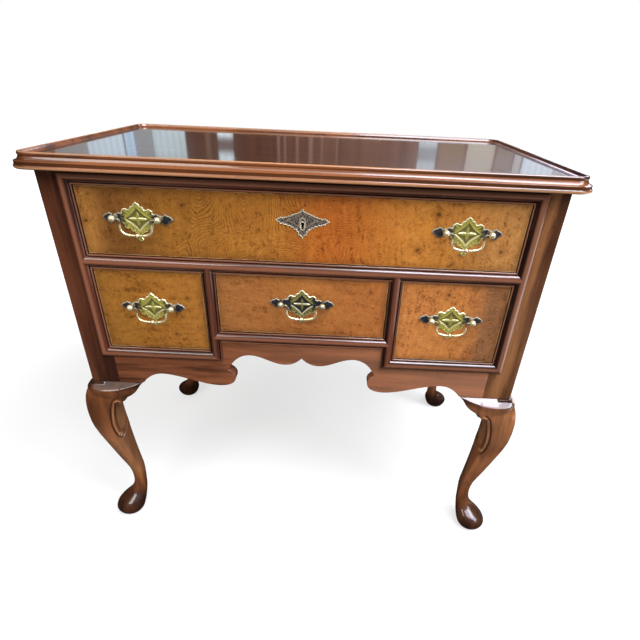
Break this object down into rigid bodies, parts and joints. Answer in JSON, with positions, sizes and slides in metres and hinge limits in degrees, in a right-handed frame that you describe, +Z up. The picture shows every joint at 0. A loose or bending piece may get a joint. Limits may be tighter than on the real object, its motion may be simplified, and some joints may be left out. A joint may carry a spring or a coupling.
{
  "type": "lowboy",
  "caption": "Walnut lowboy: a dished top over a case of drawers with brass bail handles, a shaped apron and cabriole legs with pad feet.",
  "frame": {"origin": "on the floor, under the middle of the whole", "axes": "+X to the right of someone facing the drawers, -Y out of the front, +Z up"},
  "size_m": [0.811, 0.4822, 0.7395],
  "materials": {
    "top_walnut": "highly polished dark walnut",
    "case_walnut": "polished dark walnut",
    "burr_walnut": "polished burr walnut veneer",
    "leg_walnut": "polished walnut",
    "drawer_oak": "plain oak",
    "board_pine": "plain unfinished wood",
    "aged_brass": "aged brass with dark tarnish",
    "bright_brass": "bright brass",
    "lock_steel": "dull steel"
  },
  "bodies": {
    "case": {"top_board": "top_walnut", "rim_front": "top_walnut", "rim_back": "top_walnut", "rim_left": "top_walnut", "rim_right": "top_walnut", "leg_front_left": "leg_walnut", "leg_front_right": "leg_walnut", "leg_rear_left": "leg_walnut", "leg_rear_right": "leg_walnut", "apron_front": "case_walnut", "side_left": "case_walnut", "side_right": "case_walnut", "back_panel": "board_pine", "rail_top": "case_walnut", "rail_middle": "case_walnut", "rail_low_left": "case_walnut", "rail_low_centre": "case_walnut", "rail_low_right": "case_walnut", "divider_left": "case_walnut", "divider_right": "case_walnut", "dust_board": "board_pine", "bottom_board_left": "board_pine", "bottom_board_centre": "board_pine", "bottom_board_right": "board_pine", "partition_left": "board_pine", "partition_right": "board_pine"},
    "bail_top_left": {"bail_top_left": "bright_brass"},
    "bail_top_right": {"bail_top_right": "bright_brass"},
    "lock_bolt": {"lock_bolt": "lock_steel"},
    "drawer_top": {"drawer_top_front": "burr_walnut", "drawer_top_side_left": "drawer_oak", "drawer_top_side_right": "drawer_oak", "drawer_top_back": "drawer_oak", "drawer_top_bottom": "drawer_oak", "plate_top_left": "aged_brass", "plate_top_right": "aged_brass", "escutcheon": "aged_brass", "lock_case": "lock_steel"},
    "bail_left": {"bail_left": "bright_brass"},
    "drawer_left": {"drawer_left_front": "burr_walnut", "drawer_left_side_left": "drawer_oak", "drawer_left_side_right": "drawer_oak", "drawer_left_back": "drawer_oak", "drawer_left_bottom": "drawer_oak", "plate_left": "aged_brass"},
    "bail_centre": {"bail_centre": "bright_brass"},
    "drawer_centre": {"drawer_centre_front": "burr_walnut", "drawer_centre_side_left": "drawer_oak", "drawer_centre_side_right": "drawer_oak", "drawer_centre_back": "drawer_oak", "drawer_centre_bottom": "drawer_oak", "plate_centre": "aged_brass"},
    "bail_right": {"bail_right": "bright_brass"},
    "drawer_right": {"drawer_right_front": "burr_walnut", "drawer_right_side_left": "drawer_oak", "drawer_right_side_right": "drawer_oak", "drawer_right_back": "drawer_oak", "drawer_right_bottom": "drawer_oak", "plate_right": "aged_brass"}
  },
  "joints": [
    {"name": "drawer_top_slide", "type": "slide", "parent": "case", "child": "drawer_top", "axis": [0, -1, 0], "range_m": [0, 0.3]},
    {"name": "drawer_left_slide", "type": "slide", "parent": "case", "child": "drawer_left", "axis": [0, -1, 0], "range_m": [0, 0.3]},
    {"name": "drawer_centre_slide", "type": "slide", "parent": "case", "child": "drawer_centre", "axis": [0, -1, 0], "range_m": [0, 0.3]},
    {"name": "drawer_right_slide", "type": "slide", "parent": "case", "child": "drawer_right", "axis": [0, -1, 0], "range_m": [0, 0.3]},
    {"name": "bail_top_left_swing", "type": "hinge", "parent": "drawer_top", "child": "bail_top_left", "pos_m": [-0.2435, -0.23055, 0.653], "axis": [-1, 0, 0], "range_deg": [-15, 160]},
    {"name": "bail_top_right_swing", "type": "hinge", "parent": "drawer_top", "child": "bail_top_right", "pos_m": [0.2435, -0.23055, 0.653], "axis": [-1, 0, 0], "range_deg": [-15, 160]},
    {"name": "bail_left_swing", "type": "hinge", "parent": "drawer_left", "child": "bail_left", "pos_m": [-0.24425, -0.23055, 0.50825], "axis": [-1, 0, 0], "range_deg": [-15, 160]},
    {"name": "bail_centre_swing", "type": "hinge", "parent": "drawer_centre", "child": "bail_centre", "pos_m": [0, -0.23055, 0.52575], "axis": [-1, 0, 0], "range_deg": [-15, 160]},
    {"name": "bail_right_swing", "type": "hinge", "parent": "drawer_right", "child": "bail_right", "pos_m": [0.24425, -0.23055, 0.50825], "axis": [-1, 0, 0], "range_deg": [-15, 160]},
    {"name": "lock_bolt_slide", "type": "slide", "parent": "drawer_top", "child": "lock_bolt", "axis": [0, 0, 1], "range_m": [0, 0.008]}
  ]
}
